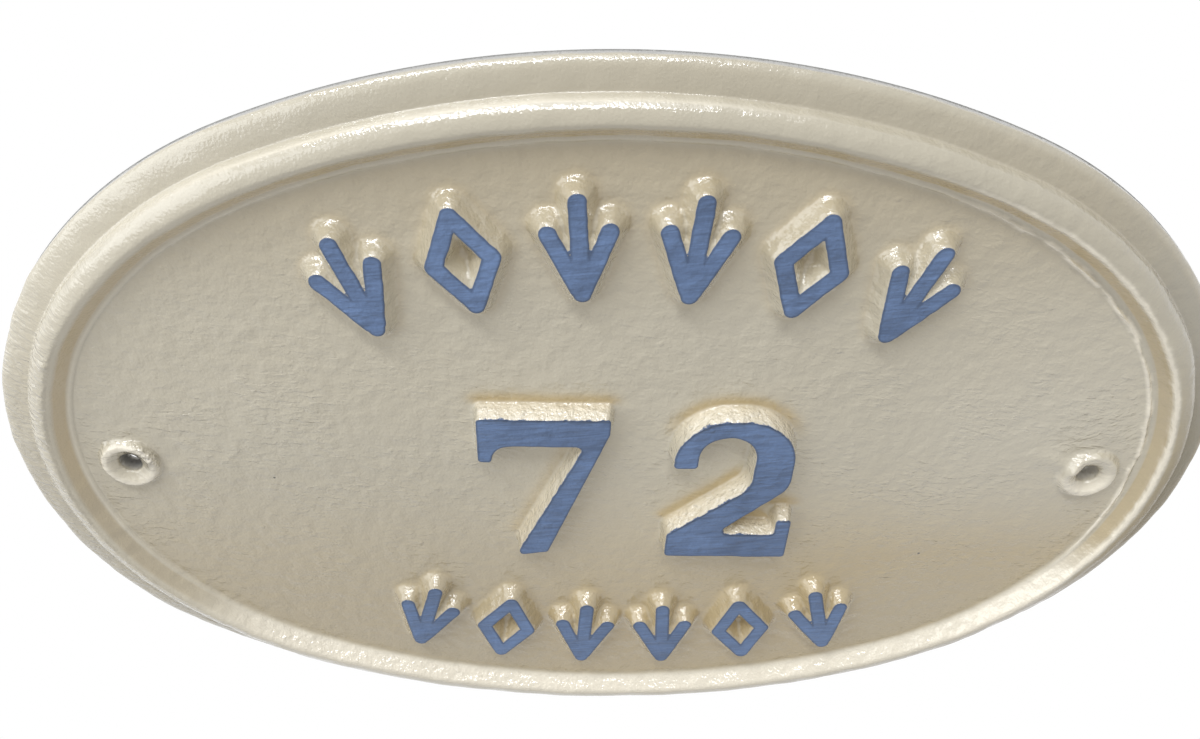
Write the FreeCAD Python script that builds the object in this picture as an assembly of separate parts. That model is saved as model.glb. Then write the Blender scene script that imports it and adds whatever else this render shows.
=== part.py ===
"""Oval cast house number plaque, one solid casting. Lengths in millimetres.

The plaque stands upright: X runs to the right, Z up, and the numbered face looks toward -Y.
The back is a flat plane on Y = 0 and the origin is the middle of that back.
"""
import FreeCAD
import Part
import math
import os

# outline: an oval of three arc radii; the two larger radii follow from the sizes below
half_width = 140.0
half_height = 98.0
end_radius = 79.3
end_arc_angle = 39.1
side_arc_angle = 68.1

# plate and the moulded rim, from the outer edge inward
field_thickness = 4.2
edge_wall_height = 1.9
edge_bevel = 0.5
flange_width = 6.1
flange_rise = 1.7
flange_crown = 0.3
step_width = 0.6
step_rise = 2.2
ridge_width = 3.8
ridge_rise = 1.9
ridge_crown = 0.45
crest_width = 0.9
crest_drop = 0.4
wall_width = 2.4
cove_width = 1.6
cove_height = 0.75
rim_ledge = 2.0

# number, two digits standing side by side
digit_rise = 5.0
digit_draft = 0.8
digit_height = 44.5
digit_width = 30.2
digit_gap = 15.2
number_shift_x = 6.1
number_shift_z = -3.8
outer_corner = 0.9
inner_corner = 1.4
bar_height = 8.0

# the digit 7: a bar with a serif, and a leaning leg
seven_serif_width = 3.2
seven_serif_drop = 13.0
seven_serif_curve = 4.2
seven_leg_left = 9.1
seven_leg_width = 7.0
seven_leg_slope = 0.9
seven_neck_width = 5.6
seven_shoulder_drop = 4.2
seven_shoulder_radius = 2.0

# the digit 2: a bowl that leans into a foot bar with an upturned end
two_bowl_width = 28.0
two_bowl_radius = 12.6
two_bowl_crown = 4.7
two_arch_radius = 6.4
two_side_width = 9.1
two_side_radius = 6.8
two_side_low = 24.0
two_tip_width = 5.6
two_tip_drop = 14.4
two_heel_height = 7.6
two_lean_start = 11.8
two_flag_rise = 5.0
two_flag_width = 3.6

# ornament of rounded strokes on two arcs
ornament_rise = 4.0
ornament_draft = 2.2
stroke_width = 3.7
motif_height = 24.5
lozenge_width = 15.6
sprig_width = 15.8
sprig_leg_offset = 0.6
sprig_leg_start = 1.2
sprig_leg_end = 14.2
motifs_per_arc = 6
top_arc_radius = 164.0
top_arc_middle_z = 62.0
top_arc_shift_x = 2.2
top_pitch_angle = 8.1
bottom_arc_radius = 204.0
bottom_arc_middle_z = -59.6
bottom_arc_shift_x = 5.0
bottom_pitch_angle = 6.0

# screw holes with their bosses
hole_spacing = 228.0
hole_diameter = 5.5
screw_seat_diameter = 9.8
screw_seat_depth = 1.5
boss_diameter = 12.4
boss_base_diameter = 14.6
boss_rise = 2.0

# how far a raised form reaches into the plate, so that both become one body
root_depth = 0.6
# how far a cutting form reaches past the surface it cuts
overcut = 1.0
# points closer together than this count as one
same_point = 0.000001


def space(x, z, height):
    return FreeCAD.Vector(x, -height, z)


def arc_edge(a, m, b):
    return Part.Arc(a, m, b).toShape()


def bow(p, q, rise):
    # a point beside the middle of the chord p-q, to the left of its direction
    dx = q[0] - p[0]
    dz = q[1] - p[1]
    size = math.hypot(dx, dz)
    return ((p[0] + q[0]) / 2 - rise * dz / size, (p[1] + q[1]) / 2 + rise * dx / size)


def oval_arcs():
    # each arc: centre x, centre z, radius, first and last angle
    a = math.radians(end_arc_angle)
    b = math.radians(side_arc_angle)
    # the radii of shoulder and side close the quarter at half_width and half_height
    m11 = math.cos(b) - math.cos(a)
    m12 = -math.cos(b)
    m21 = math.sin(b) - math.sin(a)
    m22 = 1 - math.sin(b)
    v1 = end_radius - half_width - end_radius * math.cos(a)
    v2 = half_height - end_radius * math.sin(a)
    det = m11 * m22 - m12 * m21
    shoulder_radius = (v1 * m22 - m12 * v2) / det
    side_radius = (m11 * v2 - v1 * m21) / det
    ex = half_width - end_radius
    sx = ex + (end_radius - shoulder_radius) * math.cos(a)
    sz = (end_radius - shoulder_radius) * math.sin(a)
    tz = half_height - side_radius
    turn = math.pi
    return [
        (ex, 0.0, end_radius, -a, a),
        (sx, sz, shoulder_radius, a, b),
        (0.0, tz, side_radius, b, turn - b),
        (-sx, sz, shoulder_radius, turn - b, turn - a),
        (-ex, 0.0, end_radius, turn - a, turn + a),
        (-sx, -sz, shoulder_radius, turn + a, turn + b),
        (0.0, -tz, side_radius, turn + b, 2 * turn - b),
        (sx, -sz, shoulder_radius, 2 * turn - b, 2 * turn - a),
    ]


def rim_profile():
    # stretches of the section as (inset, height) points; three points make an arc
    edge = (0.0, edge_wall_height)
    top = (edge_bevel, edge_wall_height + edge_bevel)
    groove = (flange_width, top[1] + flange_rise)
    shoulder = (groove[0] + step_width, groove[1] + step_rise)
    crest = (shoulder[0] + ridge_width, shoulder[1] + ridge_rise)
    brow = (crest[0] + crest_width, crest[1] - crest_drop)
    cove = (brow[0] + wall_width, field_thickness + cove_height)
    foot = (cove[0] + cove_width, field_thickness)
    ledge = (foot[0] + rim_ledge, field_thickness)
    return [
        ((0.0, 0.0), edge),
        (edge, top),
        (top, bow(top, groove, flange_crown), groove),
        (groove, shoulder),
        (shoulder, bow(shoulder, crest, ridge_crown), crest),
        (crest, brow),
        (brow, cove),
        (cove, foot),
        (foot, ledge),
        (ledge, (ledge[0], 0.0)),
        ((ledge[0], 0.0), (0.0, 0.0)),
    ]


def rim_segment(arc):
    cx, cz, radius, first, last = arc
    def put(p):
        reach = radius - p[0]
        return space(cx + reach * math.cos(first), cz + reach * math.sin(first), p[1])
    edges = []
    for stretch in rim_profile():
        points = [put(p) for p in stretch]
        if len(points) == 3:
            edges.append(arc_edge(*points))
        else:
            edges.append(Part.makeLine(*points))
    face = Part.Face(Part.Wire(edges))
    axis = FreeCAD.Vector(0, -1, 0)
    return face.revolve(space(cx, cz, 0.0), axis, math.degrees(last - first))


def field_plate():
    inset = rim_profile()[-1][0][0]
    edges = []
    for cx, cz, radius, first, last in oval_arcs():
        reach = radius - inset
        mid = (first + last) / 2
        points = [space(cx + reach * math.cos(t), cz + reach * math.sin(t), 0.0) for t in (first, mid, last)]
        edges.append(arc_edge(*points))
    return Part.Face(Part.Wire(edges)).extrude(FreeCAD.Vector(0, -field_thickness, 0))


def rounded_wire(corners, grow, height, place):
    # outline through rounded corners (x, z, radius), anticlockwise, grown outward by grow
    count = len(corners)
    joints = []
    for i in range(count):
        before = corners[i - 1]
        here = corners[i]
        after = corners[(i + 1) % count]
        d1 = FreeCAD.Vector(here[0] - before[0], here[1] - before[1], 0).normalize()
        d2 = FreeCAD.Vector(after[0] - here[0], after[1] - here[1], 0).normalize()
        n1 = FreeCAD.Vector(d1.y, -d1.x, 0)
        n2 = FreeCAD.Vector(d2.y, -d2.x, 0)
        at = FreeCAD.Vector(here[0], here[1], 0) + (n1 + n2) * (grow / (1 + n1.dot(n2)))
        radius = 0.0
        if here[2] > 0:
            radius = here[2] + math.copysign(grow, d1.cross(d2).z)
        half_turn = math.acos(max(-1.0, min(1.0, d1.dot(d2)))) / 2
        tangent = radius * math.tan(half_turn)
        bulge = (d2 - d1).normalize() * (radius / math.cos(half_turn) - radius)
        joints.append((at - d1 * tangent, at + bulge, at + d2 * tangent, radius > 0))
    edges = []
    for i in range(count):
        first, middle, last, is_round = joints[i]
        if is_round:
            edges.append(arc_edge(place(first, height), place(middle, height), place(last, height)))
        following = joints[(i + 1) % count][0]
        if (following - last).Length > same_point:
            edges.append(Part.makeLine(place(last, height), place(following, height)))
    return Part.Wire(edges)


def drafted(corners, low, high, draft, top_grow, place):
    # a raised form whose flanks spread by draft per millimetre below its top
    lower = rounded_wire(corners, top_grow + draft * (high - low), low, place)
    upper = rounded_wire(corners, top_grow, high, place)
    return Part.makeLoft([lower, upper], True, True)


def placer(x, z, angle):
    c = math.cos(angle)
    s = math.sin(angle)
    def place(p, height):
        return space(x + p.x * c - p.y * s, z + p.x * s + p.y * c, height)
    return place


def seven_corners():
    # the digit's face as (x, z, corner radius), from the foot of its leg round to the left
    top = digit_height
    under = top - bar_height
    right = digit_width
    leg_right = seven_leg_left + seven_leg_width
    return [
        (seven_leg_left, 0.0, outer_corner),
        (leg_right, seven_leg_slope, outer_corner),
        (right, top - seven_shoulder_drop, seven_shoulder_radius),
        (right, top, outer_corner),
        (0.0, top, outer_corner),
        (0.0, top - seven_serif_drop, outer_corner),
        (seven_serif_width, top - seven_serif_drop, outer_corner),
        (seven_serif_width, under, seven_serif_curve),
        (right - seven_neck_width, under, inner_corner),
        (seven_leg_left, 2 * outer_corner, outer_corner),
    ]


def two_corners():
    # the digit's face as (x, z, corner radius), from its lower left corner round to the right
    top = digit_height
    right = digit_width
    flag_top = bar_height + two_flag_rise
    flag_left = right - two_flag_width
    inner_top = top - two_bowl_crown
    inner_right = two_bowl_width - two_side_width
    return [
        (0.0, 0.0, outer_corner),
        (right, 0.0, outer_corner),
        (right, flag_top, outer_corner),
        (flag_left, flag_top, outer_corner),
        (flag_left, bar_height, inner_corner),
        (two_lean_start, bar_height, inner_corner),
        (two_bowl_width, two_side_low, two_side_radius),
        (two_bowl_width, top, two_bowl_radius),
        (0.0, top, two_bowl_radius),
        (0.0, top - two_tip_drop, outer_corner),
        (two_tip_width, top - two_tip_drop, outer_corner),
        (two_tip_width, inner_top, two_arch_radius),
        (inner_right, inner_top, two_arch_radius),
        (inner_right, two_side_low, two_side_radius),
        (0.0, two_heel_height, inner_corner),
    ]


def number():
    left = number_shift_x - digit_gap / 2 - digit_width
    low = number_shift_z - digit_height / 2
    base = field_thickness - root_depth
    face = field_thickness + digit_rise
    spread = digit_draft / digit_rise
    solids = []
    for index, corners in enumerate((seven_corners(), two_corners())):
        place = placer(left + index * (digit_width + digit_gap), low, 0.0)
        solids.append(drafted(corners, base, face, spread, 0.0, place))
    return solids


def lozenge_corners(side):
    # the ring's outer (side 1) or inner (side -1) outline, half a stroke beside its middle line
    a = stroke_width / 2
    across = (lozenge_width - stroke_width) / 2
    up = (motif_height - stroke_width) / 2
    edge = math.hypot(across, up)
    x = across + side * a * edge / up
    z = up + side * a * edge / across
    radius = a if side > 0 else 0.0
    return [(0.0, -z, radius), (x, 0.0, radius), (0.0, z, radius), (-x, 0.0, radius)]


def lozenge(place):
    base = field_thickness - root_depth
    face = field_thickness + ornament_rise
    spread = ornament_draft / ornament_rise
    body = drafted(lozenge_corners(1), base, face, spread, 0.0, place)
    # the opening narrows toward the field
    tool = drafted(lozenge_corners(-1), field_thickness, face + overcut, -spread, spread * overcut, place)
    return body.cut(tool)


def stroke(start, end, place):
    # one raised stroke with round ends, from start to end along its middle
    a = stroke_width / 2
    size = math.hypot(end[0] - start[0], end[1] - start[1])
    ux = (end[0] - start[0]) / size * a
    uz = (end[1] - start[1]) / size * a
    corners = [
        (start[0] - ux + uz, start[1] - uz - ux, a),
        (end[0] + ux + uz, end[1] + uz - ux, a),
        (end[0] + ux - uz, end[1] + uz + ux, a),
        (start[0] - ux - uz, start[1] - uz + ux, a),
    ]
    base = field_thickness - root_depth
    face = field_thickness + ornament_rise
    return drafted(corners, base, face, ornament_draft / ornament_rise, 0.0, place)


def sprig(place):
    # an upright stroke and two shorter ones that leave it low down
    reach = (motif_height - stroke_width) / 2
    spread = (sprig_width - stroke_width) / 2
    stem = stroke((0.0, -reach), (0.0, reach), place)
    legs = []
    for side in (-1, 1):
        start = (side * sprig_leg_offset, -reach + sprig_leg_start)
        end = (side * spread, -reach + sprig_leg_end)
        legs.append(stroke(start, end, place))
    return stem.multiFuse(legs)


def ornament():
    solids = []
    rows = [
        (top_arc_shift_x, top_arc_middle_z, top_arc_radius, top_pitch_angle, 1),
        (bottom_arc_shift_x, bottom_arc_middle_z, bottom_arc_radius, bottom_pitch_angle, -1),
    ]
    for shift, middle_z, radius, pitch, way in rows:
        for i in range(motifs_per_arc):
            turn = math.radians(pitch) * (i - (motifs_per_arc - 1) / 2)
            x = shift + radius * math.sin(turn)
            z = middle_z - way * radius * (1 - math.cos(turn))
            place = placer(x, z, -way * turn)
            # the row reads the same from both ends
            step = min(i, motifs_per_arc - 1 - i)
            solids.append(lozenge(place) if step % 2 else sprig(place))
    return solids


def boss(side):
    root = field_thickness - root_depth
    spread = (boss_base_diameter - boss_diameter) / 2 / boss_rise
    foot_radius = boss_diameter / 2 + spread * (boss_rise + root_depth)
    at = space(side * hole_spacing / 2, 0.0, root)
    return Part.makeCone(foot_radius, boss_diameter / 2, boss_rise + root_depth, at, FreeCAD.Vector(0, -1, 0))


def screw_hole(side):
    mouth = field_thickness + boss_rise
    outward = FreeCAD.Vector(0, -1, 0)
    x = side * hole_spacing / 2
    shank = Part.makeCylinder(hole_diameter / 2, mouth + 2 * overcut, space(x, 0.0, -overcut), outward)
    flare = (screw_seat_diameter - hole_diameter) / 2 / screw_seat_depth
    wide = screw_seat_diameter / 2 + flare * overcut
    low = space(x, 0.0, mouth - screw_seat_depth)
    seat = Part.makeCone(hole_diameter / 2, wide, screw_seat_depth + overcut, low, outward)
    return shank.fuse(seat)


def plaque():
    rim = [rim_segment(arc) for arc in oval_arcs()]
    raised = number() + ornament() + [boss(-1), boss(1)]
    body = field_plate().multiFuse(rim).removeSplitter()
    body = body.multiFuse(raised)
    body = body.cut(screw_hole(-1)).cut(screw_hole(1)).removeSplitter()
    return body


os.makedirs("parts", exist_ok=True)
plaque().exportStep("parts/plaque.step")
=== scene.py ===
"""Looks of an oval cast house number plaque: one enamelled casting, its paint and its stage.

The casting is worked out in millimetres, as (x, z) on the plaque's face and the height above its
back, and becomes a mesh in metres at the end. X runs to the right, Z up, the front looks to -Y.
"""
import math
from types import SimpleNamespace
import bmesh
import bpy
import numpy as np
from mathutils import Matrix, Vector
from mathutils.geometry import delaunay_2d_cdt


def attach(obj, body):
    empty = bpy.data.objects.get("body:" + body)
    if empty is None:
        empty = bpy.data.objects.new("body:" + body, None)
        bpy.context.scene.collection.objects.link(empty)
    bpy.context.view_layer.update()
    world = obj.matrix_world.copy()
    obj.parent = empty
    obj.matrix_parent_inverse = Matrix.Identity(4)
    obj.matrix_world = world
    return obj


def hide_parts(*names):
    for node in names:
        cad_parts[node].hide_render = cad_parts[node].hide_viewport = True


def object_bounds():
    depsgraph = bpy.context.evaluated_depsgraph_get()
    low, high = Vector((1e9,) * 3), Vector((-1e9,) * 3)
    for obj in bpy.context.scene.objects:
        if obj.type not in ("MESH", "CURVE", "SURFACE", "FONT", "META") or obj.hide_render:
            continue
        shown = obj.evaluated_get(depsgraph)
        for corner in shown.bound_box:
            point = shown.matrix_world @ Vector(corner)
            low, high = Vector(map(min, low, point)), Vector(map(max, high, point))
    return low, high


bl_info = {
    "name": "Cast house number plaque",
    "version": (1, 0, 0),
    "blender": (4, 5, 0),
    "location": "View3D > Sidebar > Plaque",
    "description": "Builds an enamelled oval plaque with a raised number and its stage",
    "category": "Object",
}

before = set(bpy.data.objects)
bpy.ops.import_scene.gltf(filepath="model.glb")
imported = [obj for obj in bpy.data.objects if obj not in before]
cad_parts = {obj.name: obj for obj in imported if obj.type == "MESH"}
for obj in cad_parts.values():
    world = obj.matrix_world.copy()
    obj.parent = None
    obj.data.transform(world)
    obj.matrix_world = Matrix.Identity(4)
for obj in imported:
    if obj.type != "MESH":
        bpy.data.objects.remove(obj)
CAD_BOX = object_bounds()
MM = 0.001

# outline: an oval of three arc radii, the two larger ones follow from these sizes
HALF_WIDTH = 140.0
HALF_HEIGHT = 98.0
END_RADIUS = 79.3
END_ARC_ANGLE = math.radians(39.1)
SIDE_ARC_ANGLE = math.radians(68.1)

# section of the rim, from the outer edge inward
FIELD_THICKNESS = 4.2
EDGE_WALL_HEIGHT = 1.9
EDGE_BEVEL = 0.5
FLANGE_WIDTH = 6.1
FLANGE_RISE = 1.7
FLANGE_CROWN = 0.3
STEP_WIDTH = 0.6
STEP_RISE = 2.2
RIDGE_WIDTH = 3.8
RIDGE_RISE = 1.9
RIDGE_CROWN = 0.2
RIDGE_FACET = 0.95
CREST_WIDTH = 0.9
CREST_DROP = 0.4
WALL_WIDTH = 2.4
COVE_WIDTH = 1.6
COVE_HEIGHT = 0.75
BEAD_INSET = 0.7
BEAD_HEIGHT = 0.4
BROW_INSET = FLANGE_WIDTH + STEP_WIDTH + RIDGE_WIDTH + CREST_WIDTH
FOOT_INSET = BROW_INSET + WALL_WIDTH + COVE_WIDTH
RIM_SOFTNESS = 0.24
EDGE_ALLOWANCE = 0.14

# number
DIGIT_DRAFT = 0.8
DIGIT_HEIGHT = 44.5
DIGIT_WIDTH = 30.2
DIGIT_GAP = 15.2
NUMBER_SHIFT = (6.1, -3.8)
OUTER_CORNER = 0.9
INNER_CORNER = 1.4
BAR_HEIGHT = 8.0
SEVEN_SERIF_WIDTH = 3.2
SEVEN_SERIF_DROP = 13.0
SEVEN_SERIF_CURVE = 4.2
SEVEN_LEG_LEFT = 9.1
SEVEN_LEG_WIDTH = 7.0
SEVEN_LEG_SLOPE = 0.9
SEVEN_NECK_WIDTH = 5.6
SEVEN_SHOULDER_DROP = 4.2
SEVEN_SHOULDER_RADIUS = 2.0
TWO_BOWL_WIDTH = 28.0
TWO_BOWL_RADIUS = 12.6
TWO_BOWL_CROWN = 4.7
TWO_ARCH_RADIUS = 6.4
TWO_SIDE_WIDTH = 9.1
TWO_SIDE_RADIUS = 6.8
TWO_SIDE_LOW = 24.0
TWO_TIP_WIDTH = 5.6
TWO_TIP_DROP = 14.4
TWO_HEEL_HEIGHT = 7.6
TWO_LEAN_START = 11.8
TWO_FLAG_RISE = 5.0
TWO_FLAG_WIDTH = 3.6

# ornament
ORNAMENT_DRAFT = 2.2
STROKE_WIDTH = 3.7
MOTIF_HEIGHT = 24.5
LOZENGE_WIDTH = 15.6
SPRIG_WIDTH = 15.8
SPRIG_LEG_OFFSET = 0.6
SPRIG_LEG_START = 1.2
SPRIG_LEG_END = 14.2
MOTIFS_PER_ARC = 6
TOP_ARC = {"radius": 164.0, "middle_z": 62.0, "shift_x": 2.2, "pitch": 8.1, "way": 1}
BOTTOM_ARC = {"radius": 204.0, "middle_z": -59.6, "shift_x": 5.0, "pitch": 6.0, "way": -1}

# screw holes and bosses
HOLE_SPACING = 228.0
SEAT_DIAMETER = 9.8
SEAT_DEPTH = 1.5
SEAT_FLOOR_RADIUS = 2.75
BOSS_DIAMETER = 12.4
BOSS_BASE_DIAMETER = 14.6
BOSS_REACH = 14
BOSS_SOFTNESS = 0.26

# mesh fineness
RIM_STATIONS = 780
RIM_ROWS = 72
HOLE_STATIONS = 48
ROW_SPACING = 0.55
FIELD_SPACING = 1.28
BACK_SPACING = 14.0
TRIANGLE_RISE = 0.866
FEWEST_IN_LOOP = 12

# casting and paint
SWELL_HEIGHT = 1.8
FACE_HEIGHT = 8.9
FACE_SINK = 0.06
UPPER_REACH = 1.6
DIGIT_LEVELS = (-0.6, -0.22, -0.04, 0.14, 0.45, 0.8, 1.15, 1.7)
ORNAMENT_LEVELS = (-0.6, -0.25, -0.05, 0.2, 0.75, 1.4, 2.0, 2.45, 3.1)
BOSS_RINGS = (3.2, 3.9, 4.5, 4.8, 5.1, 5.6, 6.0, 6.3, 6.8, 7.3, 7.8, 8.5)
BARE_BY_HEIGHT = ((0.0, 1.0), (1.0, 1.0), (1.9, 1.0), (3.2, 0.75))
BARE_BY_HOLE = (1.0, 0.6)
WALL_TOP_BARE = 0.3
WALL_TOP_GAP = 0.5
HASH_ROWS = np.array([[127.1, 311.7, 74.7], [269.5, 183.3, 246.1], [113.5, 271.9, 124.6]])
HASH_SCALE = 43758.5453
FAR = 50.0

# tints of the enamel and of the paint
WARM_TINT = (0.97, 0.95, 0.91)
COOL_TINT = (1.03, 1.05, 1.09)
# painted warm shade, painted shade and painted light, each mixed into the enamel by its share
WARM_SHADE_TINT = (0.89, 0.757, 0.51)
SHADE_TINT = 0.72
PAINTED_LIGHT_TINT = (1.52, 1.54, 1.64)
PIT_TINT = 0.16
PAINT_DARK_TINT = 0.72
PAINT_LIGHT_TINT = 1.34
# painted shade along the edges of the blue faces
PAINT_EDGE_SHADE_TINT = 0.5

# rows of shader nodes in the editor
NODES_A_ROW = 8
NODE_STEP = (220, 300)

# camera and stage
CAMERA_PLACE = (-12.3 * MM, -177.6 * MM, 163.8 * MM)
CAMERA_DOWN = math.radians(40.81)
CAMERA_YAW = math.radians(1.51)
CAMERA_ROLL = math.radians(1.69)
CAMERA_LENS = 30.0
PHOTO_WIDTH = 1200
PHOTO_HEIGHT = 739
PHOTO_PRINCIPAL_X = 582.5
PHOTO_PRINCIPAL_Y = 421.8
FLOOR_DROP = 320 * MM
SENSOR_WIDTH = 36.0
FLOOR_HALF = 1.2
WORLD_COLOUR = (1.0, 0.92, 0.80, 1.0)
WORLD_STRENGTH = 0.27
LAMPS = (
    ("window", (-0.20, -0.40, 0.90), (0.85, 0.13), 5.2, (0.95, 0.97, 1.0)),
    ("skylight", (-0.10, -0.12, 0.98), (1.0, 0.30), 1.6, (0.95, 0.97, 1.0)),
    ("sky", (-0.95, -0.50, 0.45), (1.0, 0.8), 4.4, (0.94, 0.97, 1.0)),
)


def length(name, description, millimetres):
    return bpy.props.FloatProperty(
        name=name, description=description, default=millimetres * MM, unit="LENGTH")


def colour(name, description, default):
    return bpy.props.FloatVectorProperty(
        name=name, description=description, default=default, subtype="COLOR", size=3)


class PlaqueSizes(bpy.types.PropertyGroup):
    digit_rise: length("Digit rise", "How far the number stands above the field", 5.0)
    ornament_rise: length("Ornament rise", "How far the ornament stands above the field", 4.0)
    boss_rise: length("Boss rise", "How far the screw bosses stand above the field", 2.0)
    hole_diameter: length("Hole diameter", "Diameter of the two screw holes", 5.5)
    lump_height: bpy.props.FloatProperty(
        name="Lump height", description="Size of the casting's unevenness, as a share of the usual",
        default=1.0, subtype="FACTOR")


class PlaqueColours(bpy.types.PropertyGroup):
    enamel: colour("Enamel", "Colour of the thick cream enamel", (0.655, 0.605, 0.48))
    paint: colour("Number paint", "Colour brushed on the raised faces", (0.142, 0.22, 0.4))
    bare_metal: colour("Bare metal", "Colour of the metal inside the screw holes", (0.26, 0.26, 0.255))
    # the side wall's grey is painted shade; the back has a plain thin grey coat
    side_shade_back_colour: colour("Side shade and back coat", "Colour of the side wall and of the back", (0.42, 0.42, 0.41))
    stage: colour("Stage", "Colour of the floor", (0.8, 0.8, 0.8))


# shapes on the face, in millimetres

def oval_arcs():
    """Each arc of the outline: centre x, centre z, radius, first and last angle."""
    a, b = END_ARC_ANGLE, SIDE_ARC_ANGLE
    sums = np.array([[math.cos(b) - math.cos(a), -math.cos(b)],
                     [math.sin(b) - math.sin(a), 1 - math.sin(b)]])
    ends = (END_RADIUS - HALF_WIDTH - END_RADIUS * math.cos(a), HALF_HEIGHT - END_RADIUS * math.sin(a))
    shoulder, side = np.linalg.solve(sums, ends)
    ex = HALF_WIDTH - END_RADIUS
    sx = ex + (END_RADIUS - shoulder) * math.cos(a)
    sz = (END_RADIUS - shoulder) * math.sin(a)
    tz = HALF_HEIGHT - side
    half = math.pi
    return [
        (ex, 0.0, END_RADIUS, -a, a),
        (sx, sz, shoulder, a, b),
        (0.0, tz, side, b, half - b),
        (-sx, sz, shoulder, half - b, half - a),
        (-ex, 0.0, END_RADIUS, half - a, half + a),
        (-sx, -sz, shoulder, half + a, half + b),
        (0.0, -tz, side, half + b, 2 * half - b),
        (sx, -sz, shoulder, 2 * half - b, 2 * half - a),
    ]


def oval_stations(count):
    """Rays that leave the outline square to it: arc centre, arc radius and direction of each."""
    arcs = oval_arcs()
    lengths = np.array([r * (last - first) for _, _, r, first, last in arcs])
    starts = np.concatenate([[0.0], np.cumsum(lengths)])
    way = (np.arange(count) + 0.5) / count * starts[-1]
    which = np.searchsorted(starts, way, side="right") - 1
    table = np.array(arcs)[which]
    angle = table[:, 3] + (way - starts[which]) / table[:, 2]
    return {"centre": table[:, :2], "radius": table[:, 2],
            "ray": np.stack([np.cos(angle), np.sin(angle)], 1)}


def at_inset(stations, inset):
    reach = (stations["radius"] - inset)[:, None]
    return stations["centre"] + reach * stations["ray"]


def inset_of(points):
    """How far each point lies inside the outline."""
    p = np.abs(points)
    ex, _, er, _, a = oval_arcs()[0]
    sx, sz, sr, _, b = oval_arcs()[1]
    _, tz, tr, _, _ = oval_arcs()[2]
    turn = np.arctan2(p[:, 1], p[:, 0] - ex)
    end = er - np.hypot(p[:, 0] - ex, p[:, 1])
    shoulder = sr - np.hypot(p[:, 0] - sx, p[:, 1] - sz)
    side = tr - np.hypot(p[:, 0], p[:, 1] - tz)
    high = np.arctan2(p[:, 1] - tz, p[:, 0]) > b
    return np.where(turn < a, end, np.where(high, side, shoulder))


def bowed(p, q, rise, count=10):
    """Points from p to q along a shallow arch beside the chord."""
    t = np.linspace(0, 1, count)[:, None]
    p, q = np.array(p), np.array(q)
    across = np.array([p[1] - q[1], q[0] - p[0]]) / np.hypot(*(q - p))
    return p + (q - p) * t + across * 4 * rise * t * (1 - t)


def run_lengths(path):
    """Length of a path from its start to each of its points."""
    return np.concatenate([[0], np.cumsum(np.hypot(*np.diff(path, axis=0).T))])


def softened(path, softness, step=0.05):
    """A path resampled at equal steps with its corners rounded, both ends kept."""
    path = np.array(path)
    along = run_lengths(path)
    t = np.arange(0, along[-1], step)
    fine = np.stack([np.interp(t, along, path[:, k]) for k in (0, 1)], 1)
    reach = int(4 * softness / step)
    weights = np.exp(-0.5 * (np.arange(-reach, reach + 1) * step / softness) ** 2)
    padded = np.concatenate([2 * fine[0] - fine[reach:0:-1], fine, 2 * fine[-1] - fine[-2:-reach - 2:-1]])
    return np.stack([np.convolve(padded[:, k], weights / weights.sum(), "valid") for k in (0, 1)], 1)


def rim_section():
    """(inset, height) points of the rim from the back's edge to the field, softly rounded."""
    top = (EDGE_BEVEL, EDGE_WALL_HEIGHT + EDGE_BEVEL)
    groove = (FLANGE_WIDTH, top[1] + FLANGE_RISE)
    shoulder = (groove[0] + STEP_WIDTH, groove[1] + STEP_RISE)
    facet = (shoulder[0] + RIDGE_FACET, shoulder[1] + RIDGE_FACET)
    crest = (shoulder[0] + RIDGE_WIDTH, shoulder[1] + RIDGE_RISE)
    brow = (crest[0] + CREST_WIDTH, crest[1] - CREST_DROP)
    cove = (brow[0] + WALL_WIDTH, FIELD_THICKNESS + COVE_HEIGHT)
    foot = (cove[0] + COVE_WIDTH, FIELD_THICKNESS)
    path = [(0.0, 0.0), (0.0, EDGE_WALL_HEIGHT), *bowed(top, groove, FLANGE_CROWN),
            shoulder, *bowed(facet, crest, RIDGE_CROWN), brow, cove, foot,
            (foot[0] + 2.4, FIELD_THICKNESS)]
    return softened(path, RIM_SOFTNESS)


def rounded_outline(corners):
    """Polygon through rounded corners (x, z, radius), anticlockwise."""
    points = []
    count = len(corners)
    for i in range(count):
        before, here, after = (np.array(corners[j % count][:2]) for j in (i - 1, i, i + 1))
        radius = corners[i][2]
        d1 = (here - before) / np.hypot(*(here - before))
        d2 = (after - here) / np.hypot(*(after - here))
        half = math.acos(float(np.clip(d1 @ d2, -1, 1))) / 2
        inward = (d2 - d1) / np.hypot(*(d2 - d1))
        centre = here + inward * radius / math.cos(half)
        start = here - d1 * radius * math.tan(half) - centre
        sense = math.copysign(1, d1[0] * d2[1] - d1[1] * d2[0])
        for t in np.linspace(0, sense * 2 * half, 7 + int(radius)):
            c, s = math.cos(t), math.sin(t)
            points.append(centre + (start[0] * c - start[1] * s, start[0] * s + start[1] * c))
    return np.array(points)


def to_segments(points, a, b):
    """Distance of each point to the nearest of the segments a-b."""
    best = np.full(len(points), np.inf)
    for p, q in zip(a, b):
        d = q - p
        t = np.clip(((points - p) @ d) / (d @ d), 0, 1)
        off = points - p - t[:, None] * d
        best = np.minimum(best, np.hypot(off[:, 0], off[:, 1]))
    return best


def inside_polygon(points, outline):
    inside = np.zeros(len(points), bool)
    for p, q in zip(outline, np.roll(outline, -1, 0)):
        if p[1] != q[1]:
            crosses = (points[:, 1] < p[1]) != (points[:, 1] < q[1])
            x = p[0] + (points[:, 1] - p[1]) / (q[1] - p[1]) * (q[0] - p[0])
            inside ^= crosses & (points[:, 0] < x)
    return inside


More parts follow.
